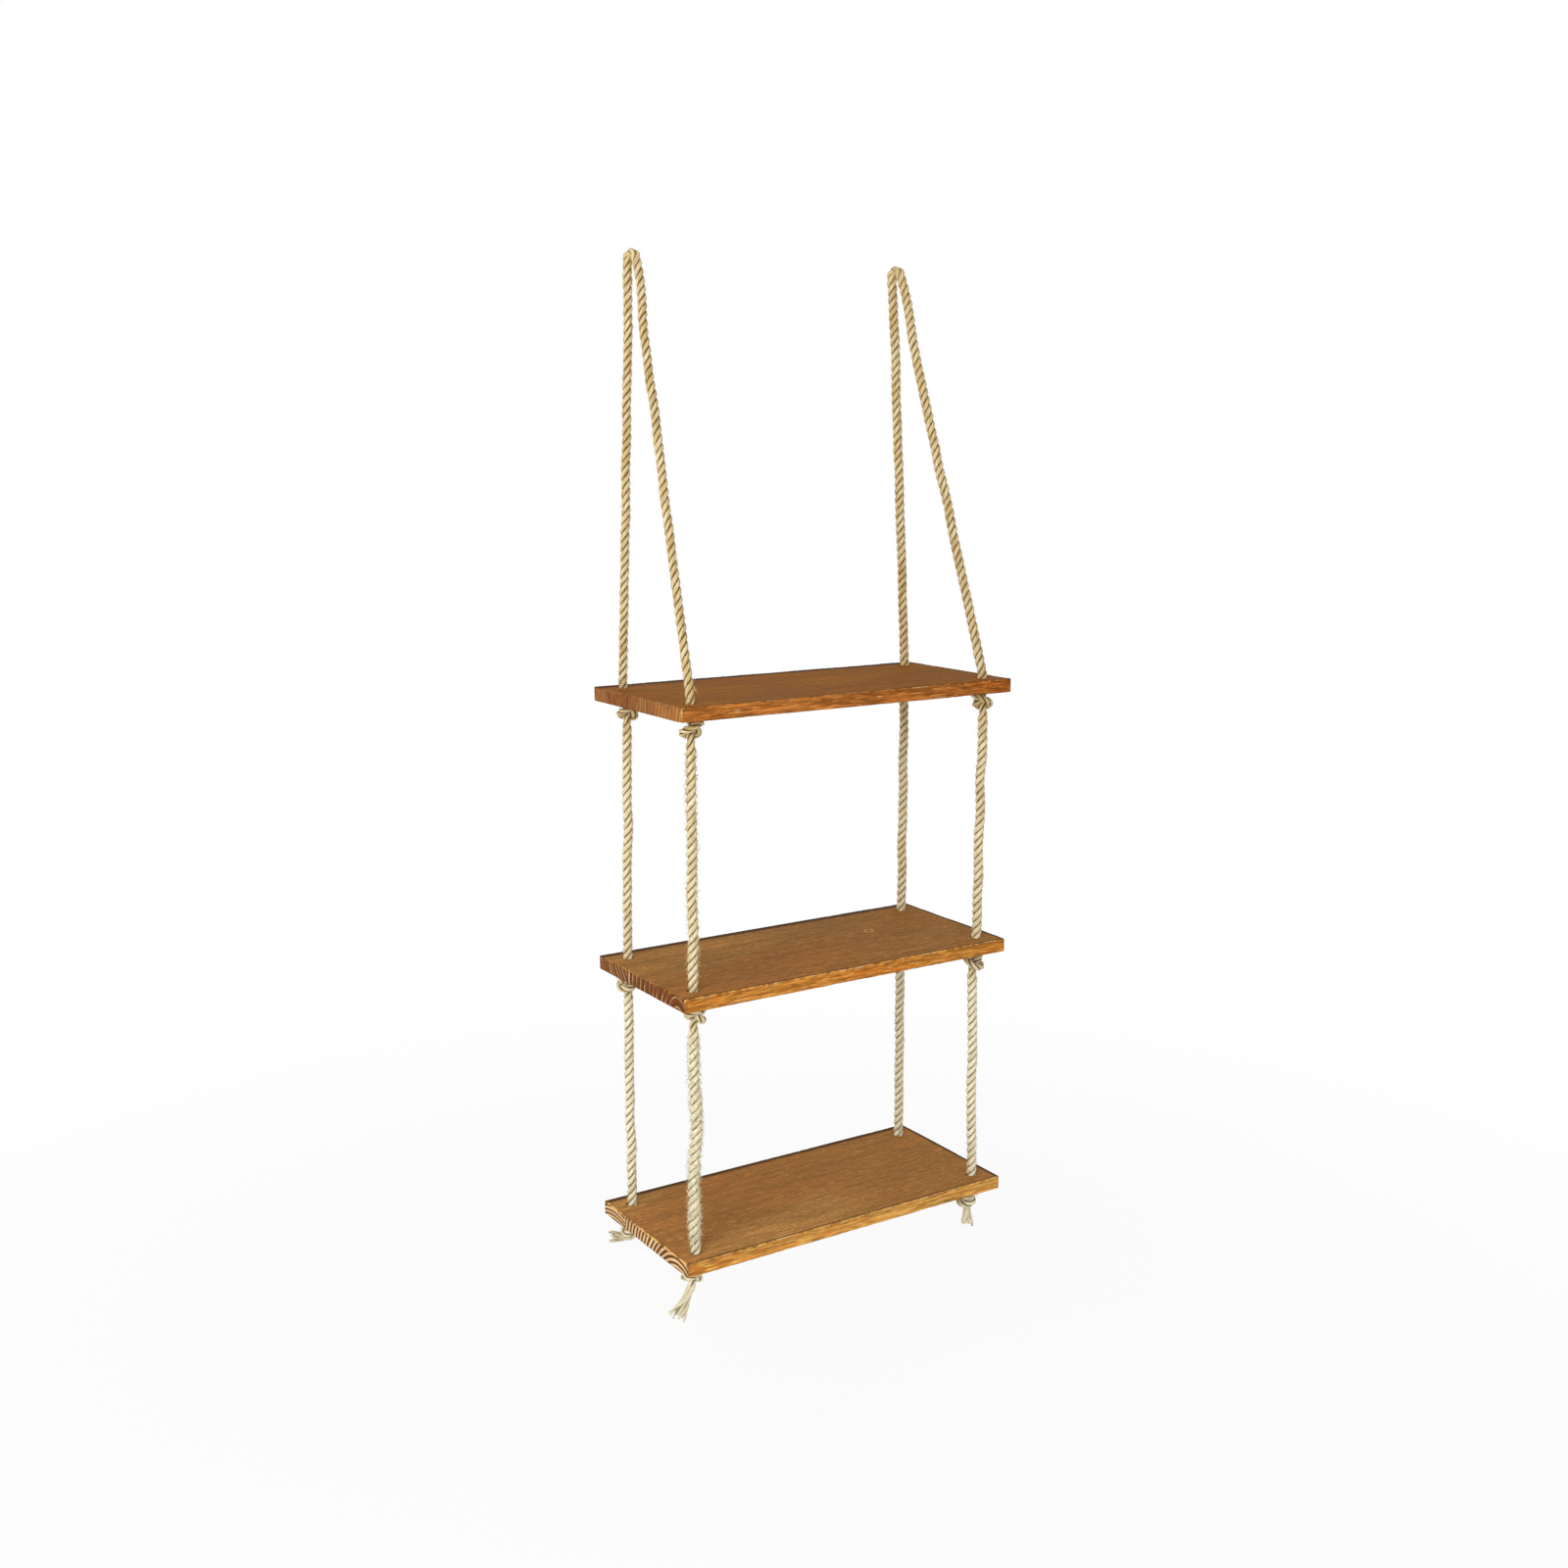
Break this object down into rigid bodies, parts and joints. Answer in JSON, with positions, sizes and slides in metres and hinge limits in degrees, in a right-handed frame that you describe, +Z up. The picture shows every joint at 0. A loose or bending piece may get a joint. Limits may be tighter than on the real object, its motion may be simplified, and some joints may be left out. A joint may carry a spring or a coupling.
{
  "type": "hanging rope shelf",
  "caption": "Wall-hung shelf of wooden boards one above another, carried at their corners by knotted rope that bends over two hooks.",
  "frame": {"origin": "midway between the two hooks, at the inside of the rope where it bends over them", "axes": "+Z up, +X to the right along the boards, -Y to the front, +Y to the wall"},
  "size_m": [0.43, 0.1905, 1.1146],
  "materials": {
    "top_wood": "stained, oiled",
    "middle_wood": "stained, oiled",
    "bottom_wood": "stained, oiled",
    "hanger_rope": "twisted natural fibre",
    "middle_rope": "twisted natural fibre",
    "bottom_rope": "twisted natural fibre"
  },
  "bodies": {
    "rope_on_hooks": {"crown_left": "hanger_rope", "crown_right": "hanger_rope"},
    "rope_shoulders": {"shoulder_rear_left": "hanger_rope", "shoulder_front_left": "hanger_rope", "shoulder_front_right": "hanger_rope", "shoulder_rear_right": "hanger_rope"},
    "left_hanger": {"hanger_rear_left": "hanger_rope", "hanger_front_left": "hanger_rope"},
    "right_hanger": {"hanger_rear_right": "hanger_rope", "hanger_front_right": "hanger_rope"},
    "top_shelf": {"top_board": "top_wood", "top_knot_rear_left": "hanger_rope", "top_knot_front_left": "hanger_rope", "top_knot_front_right": "hanger_rope", "top_knot_rear_right": "hanger_rope"},
    "middle_front_bends": {"middle_upper_bend_front_left": "middle_rope", "middle_upper_bend_front_right": "middle_rope"},
    "middle_rear_bends": {"middle_upper_bend_rear_left": "middle_rope", "middle_upper_bend_rear_right": "middle_rope"},
    "middle_front_left_run": {"middle_rope_front_left": "middle_rope"},
    "middle_front_right_run": {"middle_rope_front_right": "middle_rope"},
    "middle_rear_left_run": {"middle_rope_rear_left": "middle_rope"},
    "middle_rear_right_run": {"middle_rope_rear_right": "middle_rope"},
    "middle_shelf_bend": {"middle_lower_bend_front_left": "middle_rope"},
    "middle_shelf": {"middle_board": "middle_wood", "middle_lower_bend_rear_left": "middle_rope", "middle_lower_bend_front_right": "middle_rope", "middle_lower_bend_rear_right": "middle_rope", "middle_knot_rear_left": "middle_rope", "middle_knot_front_left": "middle_rope", "middle_knot_front_right": "middle_rope", "middle_knot_rear_right": "middle_rope"},
    "bottom_front_bends": {"bottom_upper_bend_front_left": "bottom_rope", "bottom_upper_bend_front_right": "bottom_rope"},
    "bottom_rear_bends": {"bottom_upper_bend_rear_left": "bottom_rope", "bottom_upper_bend_rear_right": "bottom_rope"},
    "bottom_front_left_run": {"bottom_rope_front_left": "bottom_rope"},
    "bottom_front_right_run": {"bottom_rope_front_right": "bottom_rope"},
    "bottom_rear_left_run": {"bottom_rope_rear_left": "bottom_rope"},
    "bottom_rear_right_run": {"bottom_rope_rear_right": "bottom_rope"},
    "bottom_shelf_bend": {"bottom_lower_bend_front_left": "bottom_rope"},
    "bottom_shelf": {"bottom_board": "bottom_wood", "bottom_lower_bend_rear_left": "bottom_rope", "bottom_lower_bend_front_right": "bottom_rope", "bottom_lower_bend_rear_right": "bottom_rope", "bottom_knot_rear_left": "bottom_rope", "bottom_knot_front_left": "bottom_rope", "bottom_knot_front_right": "bottom_rope", "bottom_knot_rear_right": "bottom_rope", "tail_rear_left": "bottom_rope", "tail_front_left": "bottom_rope", "tail_front_right": "bottom_rope", "tail_rear_right": "bottom_rope"}
  },
  "joints": [
    {"name": "swing_out", "type": "hinge", "parent": "rope_on_hooks", "child": "rope_shoulders", "pos_m": [0, 0, -0.0014], "axis": [-1, 0, 0], "range_deg": [0, 12], "deforming": ["crown_left", "crown_right"]},
    {"name": "top_sway_side", "type": "hinge", "parent": "rope_shoulders", "child": "left_hanger", "pos_m": [-0.169, 0, -0.0014], "axis": [0, -1, 0], "range_deg": [-8, 8]},
    {"name": "right_hanger_sway", "type": "hinge", "parent": "rope_shoulders", "child": "right_hanger", "pos_m": [0.169, 0, -0.0014], "axis": [0, -1, 0], "range_deg": [-8, 8]},
    {"name": "top_shelf_level", "type": "hinge", "parent": "left_hanger", "child": "top_shelf", "pos_m": [-0.1878, 0, -0.4386], "axis": [0, -1, 0], "range_deg": [-8, 8]},
    {"name": "middle_sway_out", "type": "hinge", "parent": "top_shelf", "child": "middle_front_bends", "pos_m": [0, -0.1445, -0.48994], "axis": [-1, 0, 0], "range_deg": [-12, 12]},
    {"name": "middle_rear_bends_out", "type": "hinge", "parent": "top_shelf", "child": "middle_rear_bends", "pos_m": [0, 0, -0.48994], "axis": [-1, 0, 0], "range_deg": [-12, 12]},
    {"name": "middle_sway_side", "type": "hinge", "parent": "middle_front_bends", "child": "middle_front_left_run", "pos_m": [-0.1878, -0.1445, -0.48994], "axis": [0, -1, 0], "range_deg": [-12, 12]},
    {"name": "middle_front_right_side", "type": "hinge", "parent": "middle_front_bends", "child": "middle_front_right_run", "pos_m": [0.1878, -0.1445, -0.48994], "axis": [0, -1, 0], "range_deg": [-12, 12]},
    {"name": "middle_rear_left_side", "type": "hinge", "parent": "middle_rear_bends", "child": "middle_rear_left_run", "pos_m": [-0.1878, 0, -0.48994], "axis": [0, -1, 0], "range_deg": [-12, 12]},
    {"name": "middle_rear_right_side", "type": "hinge", "parent": "middle_rear_bends", "child": "middle_rear_right_run", "pos_m": [0.1878, 0, -0.48994], "axis": [0, -1, 0], "range_deg": [-12, 12]},
    {"name": "middle_shelf_level_side", "type": "hinge", "parent": "middle_front_left_run", "child": "middle_shelf_bend", "pos_m": [-0.1878, -0.1445, -0.738], "axis": [0, -1, 0], "range_deg": [-12, 12]},
    {"name": "middle_shelf_level_out", "type": "hinge", "parent": "middle_shelf_bend", "child": "middle_shelf", "pos_m": [-0.1878, -0.1445, -0.738], "axis": [-1, 0, 0], "range_deg": [-12, 12]},
    {"name": "bottom_sway_out", "type": "hinge", "parent": "middle_shelf", "child": "bottom_front_bends", "pos_m": [0, -0.1445, -0.79024], "axis": [-1, 0, 0], "range_deg": [-12, 12]},
    {"name": "bottom_rear_bends_out", "type": "hinge", "parent": "middle_shelf", "child": "bottom_rear_bends", "pos_m": [0, 0, -0.79024], "axis": [-1, 0, 0], "range_deg": [-12, 12]},
    {"name": "bottom_sway_side", "type": "hinge", "parent": "bottom_front_bends", "child": "bottom_front_left_run", "pos_m": [-0.1878, -0.1445, -0.79024], "axis": [0, -1, 0], "range_deg": [-12, 12]},
    {"name": "bottom_front_right_side", "type": "hinge", "parent": "bottom_front_bends", "child": "bottom_front_right_run", "pos_m": [0.1878, -0.1445, -0.79024], "axis": [0, -1, 0], "range_deg": [-12, 12]},
    {"name": "bottom_rear_left_side", "type": "hinge", "parent": "bottom_rear_bends", "child": "bottom_rear_left_run", "pos_m": [-0.1878, 0, -0.79024], "axis": [0, -1, 0], "range_deg": [-12, 12]},
    {"name": "bottom_rear_right_side", "type": "hinge", "parent": "bottom_rear_bends", "child": "bottom_rear_right_run", "pos_m": [0.1878, 0, -0.79024], "axis": [0, -1, 0], "range_deg": [-12, 12]},
    {"name": "bottom_shelf_level_side", "type": "hinge", "parent": "bottom_front_left_run", "child": "bottom_shelf_bend", "pos_m": [-0.1878, -0.1445, -1.0277], "axis": [0, -1, 0], "range_deg": [-12, 12]},
    {"name": "bottom_shelf_level_out", "type": "hinge", "parent": "bottom_shelf_bend", "child": "bottom_shelf", "pos_m": [-0.1878, -0.1445, -1.0277], "axis": [-1, 0, 0], "range_deg": [-12, 12]}
  ],
  "couplings": [
    {"joint": "right_hanger_sway", "follows": "top_sway_side", "ratio": 1},
    {"joint": "top_shelf_level", "follows": "top_sway_side", "ratio": -0.8999},
    {"joint": "middle_rear_bends_out", "follows": "middle_sway_out", "ratio": 1},
    {"joint": "middle_front_right_side", "follows": "middle_sway_side", "ratio": 1},
    {"joint": "middle_rear_left_side", "follows": "middle_sway_side", "ratio": 1},
    {"joint": "middle_rear_right_side", "follows": "middle_sway_side", "ratio": 1},
    {"joint": "middle_shelf_level_side", "follows": "middle_sway_side", "ratio": -1},
    {"joint": "middle_shelf_level_out", "follows": "middle_sway_out", "ratio": -1},
    {"joint": "bottom_rear_bends_out", "follows": "bottom_sway_out", "ratio": 1},
    {"joint": "bottom_front_right_side", "follows": "bottom_sway_side", "ratio": 1},
    {"joint": "bottom_rear_left_side", "follows": "bottom_sway_side", "ratio": 1},
    {"joint": "bottom_rear_right_side", "follows": "bottom_sway_side", "ratio": 1},
    {"joint": "bottom_shelf_level_side", "follows": "bottom_sway_side", "ratio": -1},
    {"joint": "bottom_shelf_level_out", "follows": "bottom_sway_out", "ratio": -1}
  ]
}
